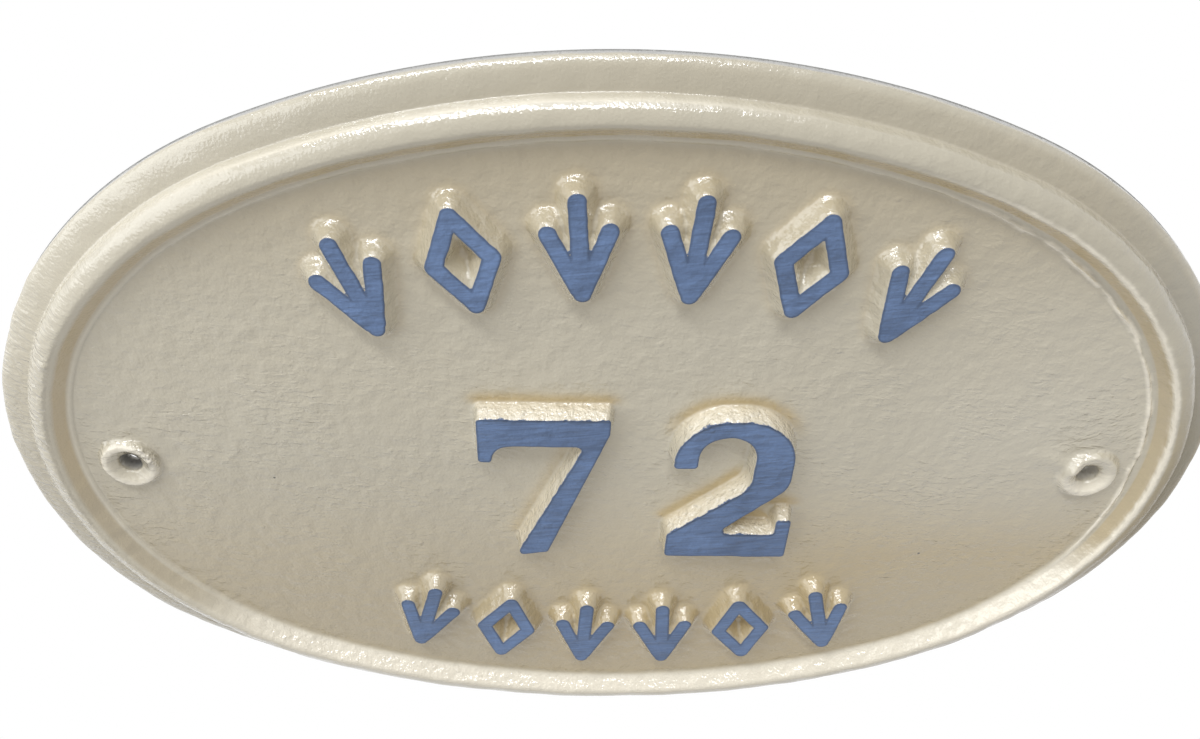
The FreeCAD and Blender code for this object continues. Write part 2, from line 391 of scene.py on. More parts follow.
def seven_corners():
    top = DIGIT_HEIGHT
    under = top - BAR_HEIGHT
    return [
        (SEVEN_LEG_LEFT, 0.0, OUTER_CORNER),
        (SEVEN_LEG_LEFT + SEVEN_LEG_WIDTH, SEVEN_LEG_SLOPE, OUTER_CORNER),
        (DIGIT_WIDTH, top - SEVEN_SHOULDER_DROP, SEVEN_SHOULDER_RADIUS),
        (DIGIT_WIDTH, top, OUTER_CORNER),
        (0.0, top, OUTER_CORNER),
        (0.0, top - SEVEN_SERIF_DROP, OUTER_CORNER),
        (SEVEN_SERIF_WIDTH, top - SEVEN_SERIF_DROP, OUTER_CORNER),
        (SEVEN_SERIF_WIDTH, under, SEVEN_SERIF_CURVE),
        (DIGIT_WIDTH - SEVEN_NECK_WIDTH, under, INNER_CORNER),
        (SEVEN_LEG_LEFT, 2 * OUTER_CORNER, OUTER_CORNER),
    ]


def two_corners():
    top = DIGIT_HEIGHT
    flag_top = BAR_HEIGHT + TWO_FLAG_RISE
    flag_left = DIGIT_WIDTH - TWO_FLAG_WIDTH
    inner_top = top - TWO_BOWL_CROWN
    inner_right = TWO_BOWL_WIDTH - TWO_SIDE_WIDTH
    return [
        (0.0, 0.0, OUTER_CORNER),
        (DIGIT_WIDTH, 0.0, OUTER_CORNER),
        (DIGIT_WIDTH, flag_top, OUTER_CORNER),
        (flag_left, flag_top, OUTER_CORNER),
        (flag_left, BAR_HEIGHT, INNER_CORNER),
        (TWO_LEAN_START, BAR_HEIGHT, INNER_CORNER),
        (TWO_BOWL_WIDTH, TWO_SIDE_LOW, TWO_SIDE_RADIUS),
        (TWO_BOWL_WIDTH, top, TWO_BOWL_RADIUS),
        (0.0, top, TWO_BOWL_RADIUS),
        (0.0, top - TWO_TIP_DROP, OUTER_CORNER),
        (TWO_TIP_WIDTH, top - TWO_TIP_DROP, OUTER_CORNER),
        (TWO_TIP_WIDTH, inner_top, TWO_ARCH_RADIUS),
        (inner_right, inner_top, TWO_ARCH_RADIUS),
        (inner_right, TWO_SIDE_LOW, TWO_SIDE_RADIUS),
        (0.0, TWO_HEEL_HEIGHT, INNER_CORNER),
    ]


def digit_outlines():
    left = NUMBER_SHIFT[0] - DIGIT_GAP / 2 - DIGIT_WIDTH
    low = NUMBER_SHIFT[1] - DIGIT_HEIGHT / 2
    second = left + DIGIT_WIDTH + DIGIT_GAP
    return [rounded_outline(seven_corners()) + (left, low),
            rounded_outline(two_corners()) + (second, low)]


def digit_distance(points):
    """Distance beside the digits' faces, negative on a face."""
    best = np.full(len(points), np.inf)
    for outline in DIGITS:
        near = to_segments(points, outline, np.roll(outline, -1, 0))
        best = np.minimum(best, np.where(inside_polygon(points, outline), -near, near))
    return best


def motif_strokes():
    """Middle lines of all the ornament's strokes, as start and end points."""
    reach = (MOTIF_HEIGHT - STROKE_WIDTH) / 2
    across = (LOZENGE_WIDTH - STROKE_WIDTH) / 2
    spread = (SPRIG_WIDTH - STROKE_WIDTH) / 2
    ring = [(0, -reach), (across, 0), (0, reach), (-across, 0)]
    lozenge = list(zip(ring, ring[1:] + ring[:1]))
    low, high = SPRIG_LEG_START - reach, SPRIG_LEG_END - reach
    sprig = [((0, -reach), (0, reach)), ((-SPRIG_LEG_OFFSET, low), (-spread, high)),
             ((SPRIG_LEG_OFFSET, low), (spread, high))]
    strokes = []
    for arc in (TOP_ARC, BOTTOM_ARC):
        for i in range(MOTIFS_PER_ARC):
            turn = math.radians(arc["pitch"]) * (i - (MOTIFS_PER_ARC - 1) / 2)
            x = arc["shift_x"] + arc["radius"] * math.sin(turn)
            z = arc["middle_z"] - arc["way"] * arc["radius"] * (1 - math.cos(turn))
            c, s = math.cos(-arc["way"] * turn), math.sin(-arc["way"] * turn)
            place = np.array([[c, s], [-s, c]])
            motif = lozenge if min(i, MOTIFS_PER_ARC - 1 - i) % 2 else sprig
            strokes += [np.array(stroke, float) @ place + (x, z) for stroke in motif]
    return np.array(strokes)


def ornament_distance(points):
    """Distance beside the ornament's faces, negative on a face."""
    return to_segments(points, STROKES[:, 0], STROKES[:, 1]) - STROKE_WIDTH / 2


DIGITS = digit_outlines()
STROKES = motif_strokes()
HOLES = [np.array([side * HOLE_SPACING / 2, 0.0]) for side in (-1, 1)]


def square_grid(low, high, step=0.28):
    xs = np.arange(low[0], high[0], step)
    zs = np.arange(low[1], high[1], step)
    return np.stack(np.meshgrid(xs, zs), -1)


def far_end(edge):
    """Grid place where a cell's edge ends: along its row for h, across the rows for v."""
    kind, i, j = edge
    return (i, j + 1) if kind == "h" else (i + 1, j)


def level_loops(grid, values, level):
    """Closed lines on a grid of points where its values have a level."""
    v = values - level
    on = v < 0
    mixed = on[:-1, :-1].astype(int) + on[1:, :-1] + on[:-1, 1:] + on[1:, 1:]
    links = {}
    for i, j in np.argwhere((mixed > 0) & (mixed < 4)):
        edges = (("h", i, j), ("v", i, j + 1), ("h", i + 1, j), ("v", i, j))
        cut = [e for e in edges if on[e[1:]] != on[far_end(e)]]
        if len(cut) == 4 and on[i, j] == (v[i:i + 2, j:j + 2].mean() < 0):
            cut = cut[1:] + cut[:1]
        for a, b in zip(cut[::2], cut[1::2]):
            links.setdefault(a, []).append(b)
            links.setdefault(b, []).append(a)

    def point(edge):
        near, far = edge[1:], far_end(edge)
        t = v[near] / (v[near] - v[far])
        return grid[near] + t * (grid[far] - grid[near])

    loops = []
    while links:
        start = next(iter(links))
        loop, here = [], start
        while here in links:
            loop.append(here)
            options = links.pop(here)
            here = next((o for o in options if o in links), start)
        if len(loop) > FEWEST_IN_LOOP:
            loops.append(np.array([point(e) for e in loop]))
    return loops


def respaced(loop, spacing):
    """A closed line with points at equal spaces."""
    closed = np.concatenate([loop, loop[:1]])
    along = run_lengths(closed)
    t = np.linspace(0, along[-1], max(8, int(along[-1] / spacing)), endpoint=False)
    return np.stack([np.interp(t, along, closed[:, k]) for k in (0, 1)], 1)


def smooth_min(a, b, k):
    near = np.maximum(k - np.abs(a - b), 0) / k
    return np.minimum(a, b) - near * near * k / 4


def relief(distance, draft, edge, foot):
    """Share of the full height beside a raised form: 1 on its face, 0 on the field."""
    t = 1 - distance / draft
    return -smooth_min(-smooth_min(t, 1.0, edge), 0.0, foot)


def boss_section(rise):
    seat = rise - SEAT_DEPTH
    path = [(0, seat), (SEAT_FLOOR_RADIUS, seat), (SEAT_DIAMETER / 2, rise),
            (BOSS_DIAMETER / 2, rise), (BOSS_BASE_DIAMETER / 2, 0), (BOSS_REACH, 0)]
    return softened(path, BOSS_SOFTNESS)


# unevenness of the sand casting, in millimetres

def wave(points, size, seed, stretch=(1, 1, 1)):
    """Gradient noise from about -1 to 1 with lumps of a size, one value a point."""
    scaled = points / (size * np.array(stretch, float)) + seed
    cell = np.floor(scaled)
    part = scaled - cell
    blend = part * part * part * (part * (part * 6 - 15) + 10)
    total = np.zeros(len(points))
    for corner in np.ndindex(2, 2, 2):
        spot = cell + corner
        slopes = [np.sin(spot @ row) * HASH_SCALE % 1.0 * 2 - 1 for row in HASH_ROWS]
        off = part - corner
        weight = np.prod(np.where(corner, blend, 1 - blend), 1)
        total += weight * sum(slopes[k] * off[:, k] for k in range(3))
    return 1.6 * total


def step_up(x, low, high):
    t = np.clip((x - low) / (high - low), 0, 1)
    return t * t * (3 - 2 * t)


def hump(x, middle, width):
    return np.exp(-((x - middle) / width) ** 2)


def from_hole(points, side, beside=(0.0, 0.0)):
    """Distance from the left (0) or right (1) screw hole, or from a place beside it."""
    return np.hypot(*(points[:, :2] - HOLES[side] - beside).T)


def crusted(points):
    """The patch of lumpy paint on the left boss."""
    return 1 - step_up(from_hole(points, 0, (4.6, 3.6)), 2.0, 5.5)


def right_end(points):
    return step_up(points[:, 0], 40, 100) * step_up(points[:, 1], -70, -25)


def bead_height(points, inset):
    """The bead of paint along the foot of the rim's wall, thick and wandering at the right end."""
    strong = right_end(points) * step_up(points[:, 1], -30, 0)
    thick = np.maximum(0.65 + 0.7 * wave(points, 5.0, 61.7) + 0.35 * wave(points, 2.2, 63.1), 0.15)
    wander = strong * (0.6 * wave(points, 9.0, 37.3) + 0.2 * wave(points, 2.5, 39.1) - 1.0)
    share = step_up(points[:, 1], -60, -15) * (1 - strong) + 2.2 * strong * thick
    return BEAD_HEIGHT * share * hump(inset + wander, FOOT_INSET - BEAD_INSET, 0.38 + 0.12 * strong)


def ridge_along(points, start, end, width, height):
    """A smooth run of paint or metal on the field, highest at its start."""
    start, way = np.array(start), np.array(end) - start
    t = ((points[:, :2] - start) @ way) / (way @ way)
    across = np.hypot(*(points[:, :2] - start - np.clip(t, 0, 1)[:, None] * way).T)
    return height * np.exp(-(across / width) ** 2) * (1 - 0.8 * np.clip(t, 0, 1))


def unevenness(points, inset):
    """Displacement of the skin along its normal at points (x, z, height)."""
    x, z = points[:, 0], points[:, 1]
    low_half = step_up(-z, -20, 40)
    rim = 1 - step_up(inset, 15, 19)
    d = 0.16 * wave(points, 26, 3.1)
    d += 0.12 * wave(points, 9.0, 11.7)
    d += 0.085 * (1 - 0.6 * rim) * wave(points, 3.6, 23.9)
    d += 0.020 * (1 - 0.5 * rim) * wave(points, 1.6, 29.3)
    d += 0.10 * low_half * wave(points, 3.4, 41.3, (3.5, 1, 1)) * (0.5 + wave(points, 30, 47.7))
    d += rim * (0.12 * wave(points, 6.0, 57.1) + 0.14 * wave(points, 15.0, 59.3))
    d += 0.2 * rim * step_up(inset, 10, 12) * low_half * wave(points, 2.9, 67.9)
    d += bead_height(points, inset)
    d += 0.30 * right_end(points) * hump(inset + 0.4 * wave(points, 6.0, 35.7), BROW_INSET - 0.1, 0.5)
    d += 0.5 * (x < 0) * hump(inset, 9.6, 0.9) * hump(z, 31.0, 1.1)
    for side, reach in enumerate((11, 14)):
        near = 1 - step_up(from_hole(points, side), 4, reach)
        d += 0.13 * near * wave(points, 2.4, 83.3, (1.8, 1, 1))
    left, right = HOLES
    d += 0.2 * crusted(points) * wave(points, 1.3, 91.1)
    d += ridge_along(points, left + (10.5, -2.2), left + (15.0, -3.0), 1.3, 0.35)
    d += ridge_along(points, right + (-5.5, 2.6), right + (-14.5, 5.6), 2.2, 1.6)
    return d


def flange_swell(points, inset):
    """The flange is cast thicker at the left end: how much higher it stands there."""
    x, z, height = points.T
    left = step_up(-x, 95, 122) * (1 - step_up(z, 15, 50))
    return SWELL_HEIGHT * left * np.clip(1 - inset / 7, 0, 1) * step_up(height, 0, 2.4)


# the casting

def relief_rows():
    """Lines of points that follow the edges and feet of the raised forms."""
    rows = []
    spans = [
        (digit_distance, (-38, -32), (56, 26), DIGIT_LEVELS),
        (ornament_distance, (-76, 32), (82, 82), ORNAMENT_LEVELS),
        (ornament_distance, (-66, -80), (76, -38), ORNAMENT_LEVELS),
    ]
    for distance, low, high, levels in spans:
        grid = square_grid(low, high)
        values = distance(grid.reshape(-1, 2)).reshape(grid.shape[:2])
        for level in levels:
            rows += [respaced(loop, ROW_SPACING) for loop in level_loops(grid, values, level)]
    return rows


def ring_around(centre, radius):
    t = np.arange(HOLE_STATIONS) / HOLE_STATIONS * 2 * math.pi
    return centre + radius * np.stack([np.cos(t), np.sin(t)], 1)


def lattice(spacing, inset):
    """Staggered points at a spacing that lie deeper than an inset inside the outline."""
    rows = []
    for k, z in enumerate(np.arange(-HALF_HEIGHT, HALF_HEIGHT, spacing * TRIANGLE_RISE)):
        x = np.arange(-HALF_WIDTH, HALF_WIDTH, spacing) + spacing / 2 * (k % 2)
        rows.append(np.stack([x, np.full_like(x, z)], 1))
    points = np.concatenate(rows)
    return points[inset_of(points) > inset]


def triangulated(loops, loose, hole_radius):
    """Triangles between closed lines and loose points, with the screw holes left open."""
    points = [Vector(p) for loop in loops for p in loop] + [Vector(p) for p in loose]
    edges, start = [], 0
    for loop in loops:
        edges += [(start + k, start + (k + 1) % len(loop)) for k in range(len(loop))]
        start += len(loop)
    out, _, faces = delaunay_2d_cdt(points, edges, [], 0, 1e-6, False)[:3]
    out, faces = np.array([tuple(p) for p in out]), np.array(faces)
    middle = out[faces].mean(1)
    keep = np.minimum(from_hole(middle, 0), from_hole(middle, 1)) > hole_radius
    return out, faces[keep]


def above_digits(points, s_digit):
    """1 above a digit, 0 beside and below it."""
    return step_up((s_digit - digit_distance(points - (0, UPPER_REACH))) / UPPER_REACH, 0.1, 0.8)


def front_height(points, sizes):
    """Nominal height of the field with all that stands on it, and distance from the painted faces."""
    s_digit = digit_distance(points)
    s_ornament = ornament_distance(points)
    flat = np.concatenate([points, np.zeros((len(points), 1))], 1)
    ragged = 0.07 * wave(flat, 3.4, 97.7)
    ragged += above_digits(points, s_digit) * (0.10 * wave(flat, 2.4, 5.3) + 0.05 * wave(flat, 1.3, 15.1))
    height = FIELD_THICKNESS + sizes.digit_rise / MM * relief(s_digit + ragged, DIGIT_DRAFT, 0.16, 0.5)
    height += sizes.ornament_rise / MM * relief(s_ornament + ragged, ORNAMENT_DRAFT, 0.10, 0.35)
    section = boss_section(sizes.boss_rise / MM)
    for side in range(2):
        height += np.interp(from_hole(points, side), section[:, 0], section[:, 1])
    return height, np.minimum(s_digit, s_ornament) + ragged


def skin_zones(points, inset):
    """Zones of the skin that several facts share, each from 0 outside to 1 inside."""
    x, z, height = points.T
    turn = 44 - 24 * step_up(x, -40, 80)
    below_brow = step_up(inset, BROW_INSET, BROW_INSET + 0.8)
    outside = 1 - step_up(inset, BROW_INSET - 1.3, BROW_INSET - 0.7)
    lit = step_up(inset, 9.5, 12) * (1 - step_up(inset, FOOT_INSET - 1.5, FOOT_INSET))
    rim = 1 - step_up(inset, 14, 17)
    return SimpleNamespace(
        x=x, z=z, height=height, inset=inset, turn=turn, rim=rim, field=1 - rim,
        low=step_up(-z, -10, 75), above_turn=1 - step_up(-z, 48, 66),
        wall=below_brow * (1 - step_up(inset, FOOT_INSET - 1.8, FOOT_INSET - 1.1)),
        lit=lit * step_up(-z, turn, turn + 22),
        flange=step_up(inset, 0.7, 2.4) * (1 - step_up(inset, 5.8, 6.4)) * step_up(z, -60, 20),
        low_left=(1 - step_up(inset, 6.0, 8.0)) * step_up(-z, -20, 25) * step_up(-x, 40, 90),
        far_right=outside * step_up(x, 105, 125) * step_up(-z, -50, 0) * (1 - 0.55 * step_up(-z, 20, 50)),
        right_end=right_end(points), off_left=from_hole(points, 0), off_right=from_hole(points, 1))


def warm_shade_share(at):
    """Painted warm shade, deepest on the wall, on the flange and low on the field."""
    share = 0.85 * at.wall * (1 - step_up(-at.z, at.turn - 6, at.turn + 14))
    share += 0.15 * at.wall * step_up(-at.x, 50, 80) * at.above_turn
    share += 0.35 * at.wall * at.right_end
    share += at.flange * (0.3 * step_up(at.x, -90, 20) + 0.2 * step_up(at.x, 30, 100))
    share += at.field * at.low * (1.12 + 0.4 * step_up(at.x, 0, 110))
    share += 0.55 * at.field * step_up(at.z, 40, 85)
    share += 0.38 * at.field * step_up(at.x, 30, 85) * step_up(-at.z, 5, 35)
    return share + 0.12 * at.low_left + 0.5 * at.far_right


def shade_share(at):
    """Painted shade: the rim is greyer at the top, at its lower left and most of all at the right."""
    share = 0.32 * at.rim * (1 - at.wall) * step_up(at.x + at.z, -70, 60)
    share += 0.35 * at.flange * step_up(at.x + at.z, -60, 40) + 0.7 * at.low_left
    share += at.right_end * step_up(at.x, 90, 128) * (0.4 * at.flange + 0.3 * at.wall)
    share += 0.55 * at.wall * step_up(-at.x, 60, 110) * step_up(-at.z, -10, 30) * at.above_turn
    share += 0.25 * at.field * (step_up(at.z, 35, 75) + at.low * step_up(-at.z, 10, 50))
    both_sides = 0.25 * step_up(-at.x, 0, 40) + 0.2 * step_up(at.x, 50, 85)
    share += at.field * step_up(-at.z, -25, 10) * both_sides
    return share + 0.25 * hump(at.off_right, 7.5, 0.9)


def painted_light_share(points, at):
    """Painted light where light catches the beads, the lower wall, the bosses and the ridge's smooth edge
    at the top.
    """
    ragged = 0.3 * wave(points, 2.6, 71.3) + 0.2 * wave(points, 1.2, 73.9)
    share = 1.3 * at.right_end * hump(at.inset + ragged, BROW_INSET - 0.1, 0.5)
    share += (0.25 + 0.75 * at.right_end) * step_up(bead_height(points, at.inset), 0.1, 0.35)
    share += at.lit * (1 - 0.15 * step_up(at.x, -20, 90) + 0.25 * step_up(at.x, 95, 110))
    share += 0.12 * at.rim * step_up(-at.x, 30, 110)
    share += 0.14 * at.field * step_up(at.x, 55, 85) * hump(at.z, 5, 40)
    share += 0.9 * hump(at.off_left, 5.8, 1.4) * step_up(at.height, 4.6, 5.6)
    below = step_up(-at.z, -3, 2)
    share += (0.2 + 0.6 * below) * hump(at.off_right, 5.0, 1.8) * step_up(at.height, 3.2, 4.2)
    ridge_edge = hump(at.inset, FLANGE_WIDTH + STEP_WIDTH, 0.22)
    return share + 0.6 * ridge_edge * step_up(at.z, 55, 85) * (1 - step_up(at.x, 0, 45))


def rough_shares(points, at):
    """How smooth, rippled, hatched and crusted the skin is, and where it has lost its gloss."""
    banded = 0.6 + 0.4 * hump(np.abs(at.x), 80, 50) + 0.2 * hump(at.x, 85, 40)
    hatch = (1 - step_up(at.inset, 9.8, 11.2)) * step_up(-at.x, 60, 118) * (1 - step_up(at.z, 15, 65))
    hatch += 0.7 * at.field * hump(from_hole(points, 1, (0, 9)), 0, 13) * step_up(at.off_right, 8, 12)
    crust = 1.9 * crusted(points) * step_up(at.height, 4.6, 5.6)
    return {"smooth": at.rim * (1 - 0.5 * step_up(at.x, 10, 80)),
            "ripple": at.field * (0.3 + 0.7 * hump(at.z, -2, 38)) * banded,
            "hatch": hatch,
            "crust": crust + at.lit * (0.5 - 0.2 * step_up(at.x, -60, 60)),
            "matt": at.far_right}


def skin_facts(points, inset, front):
    """Shares that steer the enamel at each point, by name. Front holds the front's point numbers."""
    at = skin_zones(points, inset)
    facts = rough_shares(points, at)
    facts.update({"warm_shade": warm_shade_share(at), "shade": shade_share(at), "painted_light": painted_light_share(points, at)})
    # above a digit painted warm shade lies in the corner and painted light on its upper flank, which is
    # lumpy
    field = points[front, :2]
    s_digit = digit_distance(field)
    upper = above_digits(field, s_digit)
    facts["warm_shade"][front] += upper * hump(s_digit, DIGIT_DRAFT + 1.4, 1.7)
    facts["warm_shade"][front] += 0.3 * hump(ornament_distance(field), ORNAMENT_DRAFT + 0.4, 0.6)
    facts["crust"][front] += (0.25 + 0.75 * upper) * hump(s_digit, DIGIT_DRAFT / 2, 0.55)
    facts["painted_light"][front] += 0.7 * upper * hump(s_digit, DIGIT_DRAFT / 2, 0.6)
    return facts


class Skin:
    """The casting's points and faces as they are gathered."""

    def __init__(self):
        self.count = 0
        self.points = []
        self.faces = []

    def add(self, flat, height, way_out=(0.0, 0.0, 0.0), bare=0.0):
        """Takes points in, with the way that lumps push them, and returns their numbers."""
        numbers = np.arange(self.count, self.count + len(flat))
        self.count += len(flat)
        blank = np.zeros(len(flat))
        self.points.append((flat, blank + height, blank[:, None] + way_out, blank + bare))
        return numbers

    def band(self, ring, following):
        """Quads between two rings of points, given by their numbers."""
        quads = np.stack([ring, np.roll(ring, -1), np.roll(following, -1), following], 1)
        self.faces += quads.tolist()

    def patch(self, numbers, triangles):
        self.faces += numbers[triangles].tolist()


def add_rim(skin):
    """Rows of points along the rim's section. Returns the first and last row and the last inset."""
    stations = oval_stations(RIM_STATIONS)
    section = rim_section()
    along = run_lengths(section)
    # rows lie closer together where the section bends
    heading = np.unwrap(np.arctan2(np.gradient(section[:, 1]), np.gradient(section[:, 0])))
    bend = np.abs(np.gradient(heading, along))
    effort = np.concatenate([[0], np.cumsum(np.diff(along) * (0.25 + np.minimum(bend[1:], 1.5)))])
    rows = np.interp(np.linspace(0, effort[-1], RIM_ROWS), effort, along)
    insets = np.interp(rows, along, section[:, 0])
    heights = np.interp(rows, along, section[:, 1])
    before = None
    for inset, height, in_slope, up_slope in zip(insets, heights, np.gradient(insets, rows),
                                                 np.gradient(heights, rows)):
        way_out = np.column_stack([stations["ray"] * up_slope, np.full(RIM_STATIONS, in_slope)])
        row = skin.add(at_inset(stations, inset), height, way_out)
        if before is not None:
            skin.band(before, row)
        before = row
    return at_inset(stations, insets[0]), at_inset(stations, insets[-1]), insets[-1]


def add_front(skin, rim_row, rim_inset, hole_radius, sizes):
    """The field with what stands on it. Returns its numbers, its paint edge and the holes' mouths."""
    radii = (hole_radius, *BOSS_RINGS)
    loops = [rim_row, *(ring_around(centre, r) for centre in HOLES for r in radii), *relief_rows()]
    loose = lattice(FIELD_SPACING, rim_inset + 0.7)
    s_digit, s_ornament = digit_distance(loose), ornament_distance(loose)
    beside = np.minimum(s_digit - DIGIT_LEVELS[-1], s_ornament - ORNAMENT_LEVELS[-1])
    within = np.maximum(-s_digit, -s_ornament) + DIGIT_LEVELS[0]
    clear = np.maximum(beside, within) > 0.45
    for side in range(2):
        clear &= from_hole(loose, side) > radii[-1] + 0.6
    front, triangles = triangulated(loops, loose[clear], hole_radius)
    height, edge = front_height(front, sizes)
    numbers = skin.add(front, height, (0.0, 0.0, 1.0))
    skin.patch(numbers, triangles)
    ring_starts = RIM_STATIONS + np.arange(2) * len(radii) * HOLE_STATIONS
    return numbers, edge, [numbers[start:start + HOLE_STATIONS] for start in ring_starts]


def add_hole_walls(skin, mouths, hole_radius, sizes):
    """Walls of the screw holes, from the back up to the mouths, bare where no paint reached."""
    top = FIELD_THICKNESS + sizes.boss_rise / MM - SEAT_DEPTH - WALL_TOP_GAP
    for centre, mouth, hole_bare in zip(HOLES, mouths, BARE_BY_HOLE):
        rings = [skin.add(ring_around(centre, hole_radius), height, bare=hole_bare * bare)
                 for height, bare in (*BARE_BY_HEIGHT, (top, WALL_TOP_BARE))]
        for lower, upper in zip(rings, (*rings[1:], mouth)):
            skin.band(upper, lower)


def add_back(skin, rim_row, hole_radius):
    """The flat back. Returns its numbers."""
    radii = (hole_radius, hole_radius + 0.5)
    loops = [rim_row, *(ring_around(centre, r) for centre in HOLES for r in radii)]
    back, triangles = triangulated(loops, lattice(BACK_SPACING, 8.0), hole_radius)
    numbers = skin.add(back, 0.0)
    skin.patch(numbers, triangles[:, ::-1])
    return numbers


def casting_mesh(sizes):
    """Points in the frame's metres, faces, and the facts of each point by name."""
    hole_radius = sizes.hole_diameter / MM / 2
    skin = Skin()
    outer_row, inner_row, inner_inset = add_rim(skin)
    front, edge, mouths = add_front(skin, inner_row, inner_inset, hole_radius, sizes)
    add_hole_walls(skin, mouths, hole_radius, sizes)
    back = add_back(skin, outer_row, hole_radius)

    flat, height, way_out, bare = (np.concatenate(kind) for kind in zip(*skin.points))
    inset = inset_of(flat)
    solid = np.column_stack([flat, height])
    solid[:, 2] += flange_swell(solid, inset)
    push = sizes.lump_height * unevenness(solid, inset) * step_up(height, 0.2, 2.0)
    # the skin keeps inside the solid's outline and below its highest faces
    push -= EDGE_ALLOWANCE * (1 - step_up(inset, 0, 1.5))
    push = np.where(height > FACE_HEIGHT, np.minimum(push - FACE_SINK, 0.0), push)
    placed = solid + way_out * push[:, None]
    places = np.stack([placed[:, 0], -np.maximum(placed[:, 2], 0), placed[:, 1]], 1) * MM

    facts = skin_facts(solid, inset, front)
    # painted shade: the side wall is grey below a wandering height
    side_shade_top = height + 0.3 * wave(solid, 7, 53.9)
    facts["side_shade_back_coat"] = (1 - step_up(inset, 0.1, 0.4)) * (1 - step_up(side_shade_top, 1.0, 1.6))
    # the back is plain, and the paint on it is thin and grey
    for name, values in facts.items():
        values[back] = 1 if name == "side_shade_back_coat" else 0
    facts["bare"] = bare
    facts["face_edge"] = np.full(len(flat), FAR)
    facts["face_edge"][front] = edge
    return places, skin.faces, facts


def make_casting(sizes):
    places, faces, facts = casting_mesh(sizes)
    mesh = bpy.data.meshes.new("plaque_casting")
    mesh.from_pydata(places.tolist(), [], faces)
    for name, values in facts.items():
        attribute = mesh.attributes.new(name, "FLOAT", "POINT")
        attribute.data.foreach_set("value", np.asarray(values, np.float32))
    weld(mesh)
    mesh.shade_smooth()
    return put_in_scene("plaque_casting", mesh)


def put_in_scene(name, data):
    made = bpy.data.objects.new(name, data)
    bpy.context.scene.collection.objects.link(made)
    return made


def weld(mesh):
    work = bmesh.new()
    work.from_mesh(mesh)
    bmesh.ops.remove_doubles(work, verts=work.verts, dist=0.002 * MM)
    bmesh.ops.recalc_face_normals(work, faces=work.faces)
    work.to_mesh(mesh)
    work.free()


# materials

def feed(tree, value, socket):
    """Sets a socket to a number or a colour, or links it to another socket."""
    if isinstance(value, (int, float)):
        socket.default_value = value
    elif isinstance(value, tuple):
        socket.default_value = (*value[:3], 1.0)
    else:
        tree.links.new(value, socket)


def node(tree, kind, **values):
    """A node with its settings or inputs set, placed in rows in the order of making."""
    row, column = divmod(len(tree.nodes), NODES_A_ROW)
    made = tree.nodes.new(kind)
    made.location = (column * NODE_STEP[0], -row * NODE_STEP[1])
    for key, value in values.items():
        if hasattr(made, key):
            setattr(made, key, value)
        else:
            feed(tree, value, made.inputs[key])
    return made


def new_group(name, inputs, outputs):
    group = bpy.data.node_groups.new(name, "ShaderNodeTree")
    for label, default in inputs.items():
        socket = group.interface.new_socket(label, in_out="INPUT", socket_type="NodeSocketFloat")
        socket.default_value = default
    for label in outputs:
        group.interface.new_socket(label, in_out="OUTPUT", socket_type="NodeSocketFloat")
    return group, node(group, "NodeGroupInput"), node(group, "NodeGroupOutput")


def math_node(tree, operation, a, b=0.0, clamp=False):
    made = node(tree, "ShaderNodeMath", operation=operation, use_clamp=clamp)
    feed(tree, a, made.inputs[0])
    feed(tree, b, made.inputs[1])
    return made.outputs[0]


def times(tree, first, *others):
    for other in others:
        first = math_node(tree, "MULTIPLY", first, other)
    return first


def plus(tree, first, *others):
    for other in others:
        first = math_node(tree, "ADD", first, other)
    return first


def minus(tree, a, b, clamp=False):
    return math_node(tree, "SUBTRACT", a, b, clamp)


def ramp(tree, value, start, slope):
    """Rises from 0 at a start to 1, by a slope."""
    return math_node(tree, "MULTIPLY", minus(tree, value, start), slope, True)


def noise(tree, coords, scale, detail=2.0, roughness=0.5):
    made = node(tree, "ShaderNodeTexNoise", Vector=coords, Scale=scale, Detail=detail,
                Roughness=roughness)
    return made.outputs[0]


def stretched(tree, coords, lengths, tilt, **settings):
    """Noise with features of given lengths in metres along X, Y and Z, tilted in the face's plane."""
    place = node(tree, "ShaderNodeMapping", vector_type="TEXTURE", Vector=coords)
    place.inputs["Rotation"].default_value = (0, math.radians(tilt), 0)
    place.inputs["Scale"].default_value = lengths
    return node(tree, "ShaderNodeTexNoise", Vector=place.outputs[0], Scale=1.0, **settings).outputs[0]


def scattered(tree, coords, scale):
    """Cells of a scattered pattern: distance from each middle, and two random values of each cell."""
    cells = node(tree, "ShaderNodeTexVoronoi", Vector=coords, Scale=scale)
    values = node(tree, "ShaderNodeSeparateColor", Color=cells.outputs["Color"])
    return cells.outputs["Distance"], values.outputs[0], values.outputs[1]


def mirrored_ends(tree, coords):
    """Coordinates that are alike at the left and right ends."""
    x, y, z = node(tree, "ShaderNodeSeparateXYZ", Vector=coords).outputs
    return node(tree, "ShaderNodeCombineXYZ", X=math_node(tree, "ABSOLUTE", x), Y=y, Z=z).outputs[0]


